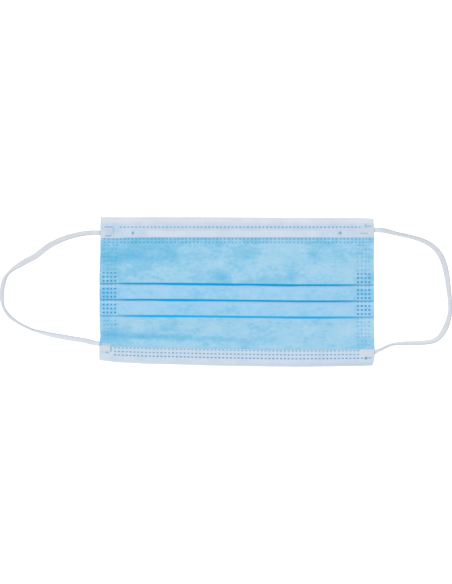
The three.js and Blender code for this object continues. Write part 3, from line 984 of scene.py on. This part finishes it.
def smooth_line(points, step):
    """A centripetal Catmull-Rom curve through the points, resampled evenly, and its running length."""
    points = np.asarray(points, float)
    p = np.concatenate([[2 * points[0] - points[1]], points, [2 * points[-1] - points[-2]]])
    dense = []
    for p0, p1, p2, p3 in zip(p, p[1:], p[2:], p[3:]):
        t1 = np.linalg.norm(p1 - p0) ** 0.5
        t2 = t1 + np.linalg.norm(p2 - p1) ** 0.5
        t3 = t2 + np.linalg.norm(p3 - p2) ** 0.5
        t = np.linspace(t1, t2, 24, endpoint=False)[:, None]
        a1 = (t1 - t) / t1 * p0 + t / t1 * p1
        a2 = (t2 - t) / (t2 - t1) * p1 + (t - t1) / (t2 - t1) * p2
        a3 = (t3 - t) / (t3 - t2) * p2 + (t - t2) / (t3 - t2) * p3
        b1 = (t2 - t) / t2 * a1 + t / t2 * a2
        b2 = (t3 - t) / (t3 - t1) * a2 + (t - t1) / (t3 - t1) * a3
        dense.append((t2 - t) / (t2 - t1) * b1 + (t - t1) / (t2 - t1) * b2)
    dense = np.concatenate(dense + [points[-1:]])
    lengths = np.concatenate([[0], np.cumsum(np.linalg.norm(np.diff(dense, axis=0), axis=1))])
    s = np.linspace(0, lengths[-1], int(round(lengths[-1] / step)) + 1)
    return np.stack([np.interp(s, lengths, dense[:, i]) for i in (0, 1)], axis=1), s


def welded_points(end):
    """Places along a welded end of the elastic, from its inner end to the side edge of the mask."""
    side, up, degrees = LOOP_ENDS[end]
    turn = math.radians(degrees)
    outer = np.array([side * (HALF_WIDTH + LOOP_END_OVERHANG), up * HALF_HEIGHT])
    inward = -side * np.array([math.cos(turn), math.sin(turn)])
    return [outer + inward * d for d in (8.4, 6.0, 3.0, 0.8)]


def elastic_section():
    """A flat oval of the knitted band, as shares of half its width and half its thickness."""
    angle = 2 * math.pi * np.arange(ELASTIC_SIDES) / ELASTIC_SIDES
    across = np.sign(np.cos(angle)) * np.abs(np.cos(angle)) ** 0.75
    through = np.sign(np.sin(angle)) * np.abs(np.sin(angle)) ** 0.6
    return across[None, :], through[None, :]


def band_axes(centre, tilt):
    """Directions across the band and through it, at each point of its middle line."""
    tangent = np.gradient(centre, axis=0)
    tangent /= np.linalg.norm(tangent, axis=1, keepdims=True)
    side = np.stack([-tangent[:, 1], tangent[:, 0], np.zeros(len(centre))], axis=1)
    side /= np.linalg.norm(side, axis=1, keepdims=True)
    up = np.cross(tangent, side)
    wide = side * np.cos(tilt)[:, None] + up * np.sin(tilt)[:, None]
    thin = up * np.cos(tilt)[:, None] - side * np.sin(tilt)[:, None]
    return wide, thin


def knit(s, across, flat):
    """Ribs and stitches of the band, and its relief, which has pressed teeth where it is flat."""
    rib = 0.5 + 0.5 * np.cos(across * math.pi * RIB_COUNT)
    stitch = 0.5 + 0.5 * np.cos(2 * math.pi * s / STITCH_LENGTH)[:, None]
    along = np.cos(2 * math.pi * s / TOOTH_PITCH)[:, None]
    tooth = 0.5 + 0.5 * along * np.cos(across * math.pi * TEETH_ACROSS)
    relief = RIB_HEIGHT * rib * (0.45 + 0.55 * stitch) * (1 - flat) + TOOTH_HEIGHT * tooth * flat
    return rib, stitch, relief


def band_shades(s, past, free, ends):
    """How bright the band is along its length, and the painted light beside the cloth against the shade of
    its edge, past millimetres out from it.
    """
    at_first_end = (s < s[-1] / 2).astype(int)
    painted_light_by_cloth, near = np.array([END_PAINTED_LIGHT[ends[1]], END_PAINTED_LIGHT[ends[0]]])[at_first_end].T
    near = near * (1 - smooth((past - 2.0) / 5.0))
    painted_light_by_cloth = painted_light_by_cloth * (1 - smooth((past - 0.4) / 1.4))
    bright = np.maximum(0.75 * smooth((free - BRIGHT_FROM) / 0.15), near)
    return bright[:, None], painted_light_by_cloth[:, None]


def ear_loop(side_name, route, tilts, material):
    """Flat knitted elastic along its route, turned on edge in places, its ends pressed flat and welded."""
    ends = ("top_" + side_name, "bottom_" + side_name)
    route_mm = list(np.array(route) / MM)
    line, s = smooth_line(welded_points(ends[0]) + route_mm + welded_points(ends[1])[::-1], ELASTIC_STEP)
    to_end = np.minimum(s, s[-1] - s)
    welded = ELASTIC_END_LENGTH - LOOP_END_OVERHANG
    free = np.clip((s - welded) / (s[-1] - 2 * welded), 0, 1)
    turned = smooth((to_end - welded + 1.0) / 4.0)
    tilt = np.radians(np.interp(free, *np.array(tilts, float).T)) * turned
    pressed = 1 - smooth((to_end - welded + 3.5) / 3.0)
    neck = ELASTIC_WIDTH - ELASTIC_NECK * (1 - smooth((to_end - welded) / ELASTIC_NECK_LENGTH))
    width = neck + (ELASTIC_END_WIDTH - neck) * pressed
    thick = ELASTIC_THICKNESS + (ELASTIC_END_THICKNESS - ELASTIC_THICKNESS) * (1 - turned)
    height = width / 2 * np.abs(np.sin(tilt)) + thick / 2 * np.abs(np.cos(tilt)) + ELASTIC_FLOOR_GAP
    centre = np.concatenate([line, height[:, None]], axis=1)
    wide, thin = band_axes(centre, tilt)
    across, through = elastic_section()
    flat = pressed[:, None]
    rib, stitch, relief = knit(s, across, flat)
    half_wide = (width / 2)[:, None] * across
    half_thin = ((thick / 2)[:, None] - RIB_HEIGHT + relief) * through
    rings = centre[:, None, :] + wide[:, None, :] * half_wide[..., None]
    rings = rings + thin[:, None, :] * half_thin[..., None]
    count = len(s)
    ids = np.arange(count * ELASTIC_SIDES).reshape(count, ELASTIC_SIDES)
    a, b = ids[:-1], ids[1:]
    quads = np.stack([a, np.roll(a, -1, 1), np.roll(b, -1, 1), b], axis=-1).reshape(-1, 4)
    side_edge = smooth((np.abs(across) - 0.62) / 0.3) * np.ones_like(flat)
    # Painted shade in the rib valleys, between stitches and towards the band's sides
    valley_shade = (1 - rib) * (1 - flat) * 0.4 + (1 - stitch) * 0.15 + 0.35 * side_edge
    valley_shade = valley_shade * smooth((to_end - welded - 0.5) / 4.0)[:, None]
    bright, painted_light_by_cloth = band_shades(s, to_end - welded, free, ends)
    shades = {"valley_shade": valley_shade, "weld": flat, "bright": bright, "painted_light_by_cloth": painted_light_by_cloth}
    loop = mesh_object(
        side_name + "_ear_loop",
        rings.reshape(-1, 3) * MM,
        quads,
        {key: np.broadcast_to(values, valley_shade.shape).ravel() for key, values in shades.items()},
        material,
        caps=(ids[0, ::-1], ids[-1]),
    )
    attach(loop, "root")
    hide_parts("ear_loop_" + side_name, "loop_end_" + ends[0], "loop_end_" + ends[1])


# Cloth


def crease_shade_strength(x, centre, legs, lean):
    """Painted shade, a deep blue, on the pleats' open edges, on the cloth just below them and on the cloth
    hidden inside them.
    """
    across = x / HALF_WIDTH
    found = np.zeros_like(x)
    for k, name in enumerate(FOLD_COLUMNS[1:]):
        fold = FIRST_FOLD - k * PLEAT_PITCH
        strength = column(FOLD_ROWS, FOLD_COLUMNS, name, across[0])[None, :]
        wider = CREASE_WIDENING * np.maximum(strength - 1, 0)
        reach = CREASE_REACH + wider - CREASE_NARROWING * np.maximum(1 - strength, 0)
        past_fold = (centre[:, 0] - fold)[:, None]
        tip = smooth((0.93 - lean) / 0.25)[:, None] * (np.abs(past_fold) < 1.2)
        on_next = (legs == 2 * k + 2)[:, None] * smooth((past_fold + reach + 0.3) / 0.3)
        inside = (legs == 2 * k + 1)[:, None]
        found = np.maximum(found, np.maximum(np.maximum(tip, on_next), inside) * np.minimum(strength, 1))
    return found


def outer_ply(material):
    """The blue ply on the front of the laminate, folded into the pleats."""
    path, rows, legs = panel_rows(row_lines(dot_rows()))
    normal = normals_of(path)[rows]
    centre = path[rows]
    u, y = np.meshgrid(mask_columns(), centre[:, 0])
    x = shifted(u, y)
    z = np.repeat(centre[:, 1:2], x.shape[1], axis=1) + wrinkle_lift(x, y)
    shows = (legs % 2 == 0)[:, None] & (normal[:, 1:2] > 0.2)
    strength, away = panel_weld(u, y)
    front, back = (
        drape(x, y + normal[:, 0:1] * off, z + normal[:, 1:2] * off)
        for off in (OUTER_OFFSET + PLY / 2, OUTER_OFFSET - PLY / 2)
    )
    placed = drape(x, y, z)
    attributes = {
        **away,
        "weld": strength * shows,
        # Painted shade along the pleats' open edges
        "crease_shade": crease_shade_strength(x, centre, legs, normal[:, 1]),
        # Deeper and paler blue, with painted shade along the wrinkle
        "tone_and_wrinkle_shade": blue_tone_and_wrinkle_shade(placed[..., 0], placed[..., 1]),
        "catch": below_fold(x, y) * shows,
        "pleated": 0.22 * smooth(FIRST_FOLD - y) * smooth(y - LAST_FOLD),
        "pale_imprint": marked(x, y, PALE_IMPRINTS, ease=1.1) * shows,
        "knurled": np.zeros_like(x),
    }
    piece = closed_sheet("outer_ply", front, back, attributes, material)
    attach(piece, "root")
    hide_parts("pleated_panel")


def inner_section():
    """Section of the white ply: front leg of the top hem, the back through the pleats, front leg below."""
    path, rows, _ = panel_rows(np.arange(HALF_HEIGHT, -HALF_HEIGHT, -BACK_STEP))
    back = (path + normals_of(path) * INNER_OFFSET)[rows]
    back_z = back[0, 1]
    radius = (HEM_FRONT_Z - back_z) / 2
    fold_y = HALF_HEIGHT - radius - PLY / 2
    angles = np.linspace(0, math.pi, 9)
    arc = [(fold_y + radius * math.sin(a), back_z + radius * (1 + math.cos(a))) for a in angles]
    leg_step = 0.42
    fold_room = 0.3

    def front_leg(edge):
        ys = np.arange(edge, fold_y - fold_room, leg_step)
        return [(y, HEM_EDGE_Z + (HEM_FRONT_Z - HEM_EDGE_Z) * float(smooth((y - edge) / 1.2))) for y in ys]

    top_leg = front_leg(HALF_HEIGHT - TOP_HEM_HEIGHT)
    bottom_leg = front_leg(HALF_HEIGHT - BOTTOM_HEM_HEIGHT)
    gap = [(float(y), back_z) for y in np.linspace(fold_y, back[0, 0], 4)[1:-1]]
    under = [(-y, z) for y, z in arc[::-1]]
    upper_part = top_leg + arc + gap
    lower_part = [(-y, z) for y, z in gap[::-1]] + under + [(-y, z) for y, z in bottom_leg[::-1]]
    section = np.array(upper_part + [tuple(p) for p in back] + lower_part)
    front = np.zeros(len(section), bool)
    front[:len(top_leg)] = True
    front[len(section) - len(bottom_leg):] = True
    return section, front


def wire_zones(x, y, top):
    """How high the hem rises over the nose wire, where it lies on it, and where it slopes down below it."""
    past_x = np.abs(x - WIRE_SHIFT) - WIRE_LENGTH / 2
    past_y = np.abs(y - WIRE_MIDDLE) - WIRE_WIDTH / 2 - 0.15
    along = 1 - smooth((past_x - 0.8) / WIRE_END_EASE)
    ease = np.where(y > WIRE_MIDDLE, WIRE_EASE_ABOVE, WIRE_EASE)
    ridge = WIRE_RISE * along * (1 - smooth(past_y / ease)) * top
    over_wire = (1 - smooth((past_x + 2.0) / 9.0)) * (1 - smooth((past_y + 0.5) / 0.9)) * top
    on_slope = along * smooth((WIRE_MIDDLE - WIRE_WIDTH / 2 + 0.3 - y) / 0.6)
    return ridge, over_wire, on_slope


def hem_shades(x, y, on_front, over_wire, on_slope):
    """Where blue shows through the white cloth, where it tints the rows of dots, and where it is greyer."""
    # Less blue on the slope below the wire, part of the painted light there
    hem_tint = smooth((45.6 - y) / 2.6) * (1 - 0.45 * over_wire) * (1 - 0.4 * on_slope)
    rows_top = 0.3 * np.exp(-((y - TOP_HEM_ROW) / 0.9) ** 2) * (np.abs(x) < 80)
    rows_low = 0.25 * smooth((y + 43.6) / 1.0) * smooth((-36.6 - y) / 0.8) * (np.abs(x) < 79)
    shade = 0.6 * smooth((x + 60) / 150.0) * smooth((-44.6 - y) / 2.6)
    return {
        "under": np.where(y > 0, hem_tint, 0.65) * on_front,
        "tint": np.where(y > 0, rows_top, rows_low) * on_front,
        "shade": np.maximum(shade, marked(x, y, GREY_IMPRINTS, ease=0.7)) * on_front,
    }


def inner_ply(material):
    """The white ply at the back, folded to the front over both hems."""
    section, front = inner_section()
    normal = normals_of(section)
    u, y = np.meshgrid(mask_columns(), section[:, 0])
    x = shifted(u, y)
    on_front = front[:, None]
    top = on_front & (y > 0)
    edge_gap = np.where(y > 0, y - HALF_HEIGHT + TOP_HEM_HEIGHT, BOTTOM_HEM_HEIGHT - HALF_HEIGHT - y)
    droop = HEM_DROOP * (1 - smooth((x - HEM_DROOP_END) / 10.0)) * (1 - smooth(edge_gap / 5.0))
    y = y - droop * top
    z = np.repeat(section[:, 1:2], x.shape[1], axis=1) + wrinkle_lift(x, y) * ~on_front
    strength, away = hem_weld(u, y)
    lines = marked(x, y, HEM_LINES)
    spots = marked(x, y, HEM_SPOTS, round_spots=True)
    ridge, over_wire, on_slope = wire_zones(x, y, top)
    half_ply = np.where(on_front, PLY_EDGE / 2 + (PLY - PLY_EDGE) / 2 * smooth(edge_gap / 0.9), PLY / 2)
    outside, inside = (
        drape(x, y - side * normal[:, 0:1] * half_ply, z - side * normal[:, 1:2] * half_ply + ridge)
        for side in (1, -1)
    )
    attributes = {
        **away,
        "weld": strength * on_front,
        "mark": np.maximum(lines, spots) * on_front,
        **hem_shades(x, y, on_front, over_wire, on_slope),
        # Painted light on the slope below the nose wire, against its shade
        "painted_slope_light": SLOPE_LIGHT_SHARE * on_slope * top,
        "pale_imprint": marked(x, y, PALE_IMPRINTS, ease=1.1) * on_front,
        "knurled": marked(x, y, KNURLED, ease=1.0) * on_front,
    }
    piece = closed_sheet("inner_ply", outside, inside, attributes, material)
    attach(piece, "root")
    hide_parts("top_hem", "bottom_hem")


def main():
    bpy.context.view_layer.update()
    make_camera()
    elastic = elastic_cloth()
    ear_loop("left", LEFT_ROUTE, LEFT_TILTS, elastic)
    ear_loop("right", RIGHT_ROUTE, RIGHT_TILTS, elastic)
    outer_ply(outer_cloth())
    inner_ply(inner_cloth())
    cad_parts["nose_wire"].material_slots[0].material = wire_plastic()
    make_stage()
    make_light()


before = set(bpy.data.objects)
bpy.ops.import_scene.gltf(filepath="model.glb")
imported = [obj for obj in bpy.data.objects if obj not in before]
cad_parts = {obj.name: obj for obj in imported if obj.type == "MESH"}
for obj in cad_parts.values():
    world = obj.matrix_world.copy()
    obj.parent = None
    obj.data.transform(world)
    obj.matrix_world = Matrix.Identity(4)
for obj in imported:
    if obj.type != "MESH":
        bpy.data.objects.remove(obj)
main()
